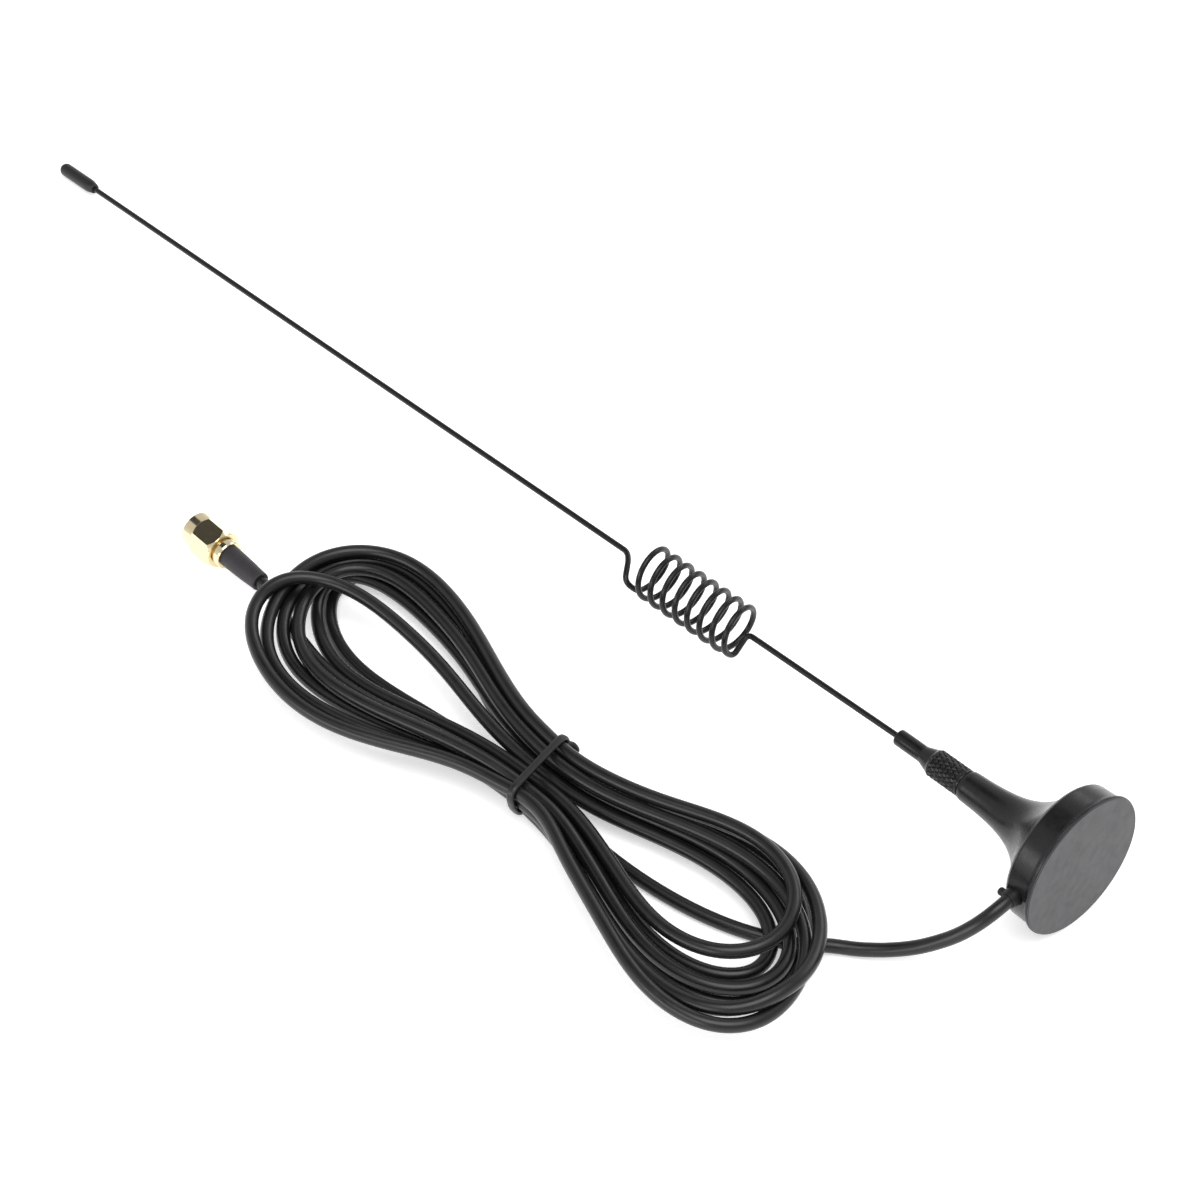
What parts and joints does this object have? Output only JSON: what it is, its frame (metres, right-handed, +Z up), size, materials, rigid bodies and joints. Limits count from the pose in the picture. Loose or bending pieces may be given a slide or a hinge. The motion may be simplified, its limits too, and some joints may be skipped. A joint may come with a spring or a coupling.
{
  "type": "omnidirectional antenna",
  "caption": "Magnetic-base whip antenna lying on its side, with a phasing coil in the whip and a thin coaxial lead in a tied hank ending in a male coaxial plug.",
  "frame": {"origin": "centre of the antenna's bounding box in plan, on the surface it lies on; the lead, hank and plug are left out of that box", "axes": "+Z up from the surface, +X along the lying whip towards the base, -Y the side where the lead leaves; the whip's own axis is tilted about 2.43 degrees from X because it rests on the base's lip and on the tip cap"},
  "size_m": [0.3198, 0.0907, 0.03],
  "materials": {
    "base_black": "satin black moulded plastic",
    "pad_grey": "smooth grey protective film",
    "magnet_nickel": "nickel plated magnet",
    "tin_plate": "tinned steel sheet",
    "stud_brass": "turned brass",
    "boot_rubber": "matt black rubber",
    "dielectric": "translucent white polyethylene",
    "copper_wire": "bare copper",
    "braid": "tinned copper braid, twisted",
    "solder": "soft solder",
    "washer_rubber": "black rubber",
    "whip_black": "black plated metal, satin",
    "cap_black": "black moulded cap",
    "cable_black": "black PVC jacket, satin",
    "tie_black": "black plastic-coated wire tie",
    "shrink_grey": "matt dark heat-shrink sleeve",
    "gold": "gold plated brass, bright",
    "crimp_gold": "gold plated ferrule",
    "ptfe": "white PTFE",
    "gasket_red": "red silicone",
    "spring_brass": "spring bronze"
  },
  "bodies": {
    "base_and_lead": {"base_housing": "base_black", "bottom_pad": "pad_grey", "magnet": "magnet_nickel", "ground_plate": "tin_plate", "threaded_stud": "stud_brass", "cable_grommet": "boot_rubber", "coax_core_base": "dielectric", "centre_conductor": "copper_wire", "braid_pigtail": "braid", "solder_joint_stud": "solder", "solder_joint_plate": "solder", "cable_lead": "cable_black", "cable_hank": "cable_black", "cable_tie": "tie_black", "cable_tail": "cable_black", "heat_shrink": "shrink_grey", "crimp_sleeve": "crimp_gold", "coax_core_plug": "dielectric", "sma_body": "gold", "sma_insulator": "ptfe", "sma_pin": "gold", "sma_snap_ring": "spring_brass", "sma_gasket": "gasket_red"},
    "washer": {"seal_washer": "washer_rubber"},
    "whip": {"whip_ferrule": "whip_black", "whip_wire": "whip_black", "tip_cap": "cap_black"},
    "coupling_nut": {"sma_nut": "gold"}
  },
  "joints": [
    {"name": "whip_lift", "type": "slide", "parent": "base_and_lead", "child": "washer", "axis": [-0.9991, 0, -0.0423], "range_m": [0, 0.006]},
    {"name": "whip_turn", "type": "hinge", "parent": "washer", "child": "whip", "pos_m": [0.13032, 0.00055, 0.01379], "axis": [-0.9991, 0, -0.0423], "range_deg": [0, 4321]},
    {"name": "coupling_nut_spin", "type": "hinge", "parent": "base_and_lead", "child": "coupling_nut", "pos_m": [-0.02805, -0.05939, 0.00455], "axis": [1, 0, 0], "continuous": true}
  ],
  "couplings": [
    {"joint": "whip_turn", "follows": "whip_lift", "rad_per_m": 12566}
  ]
}
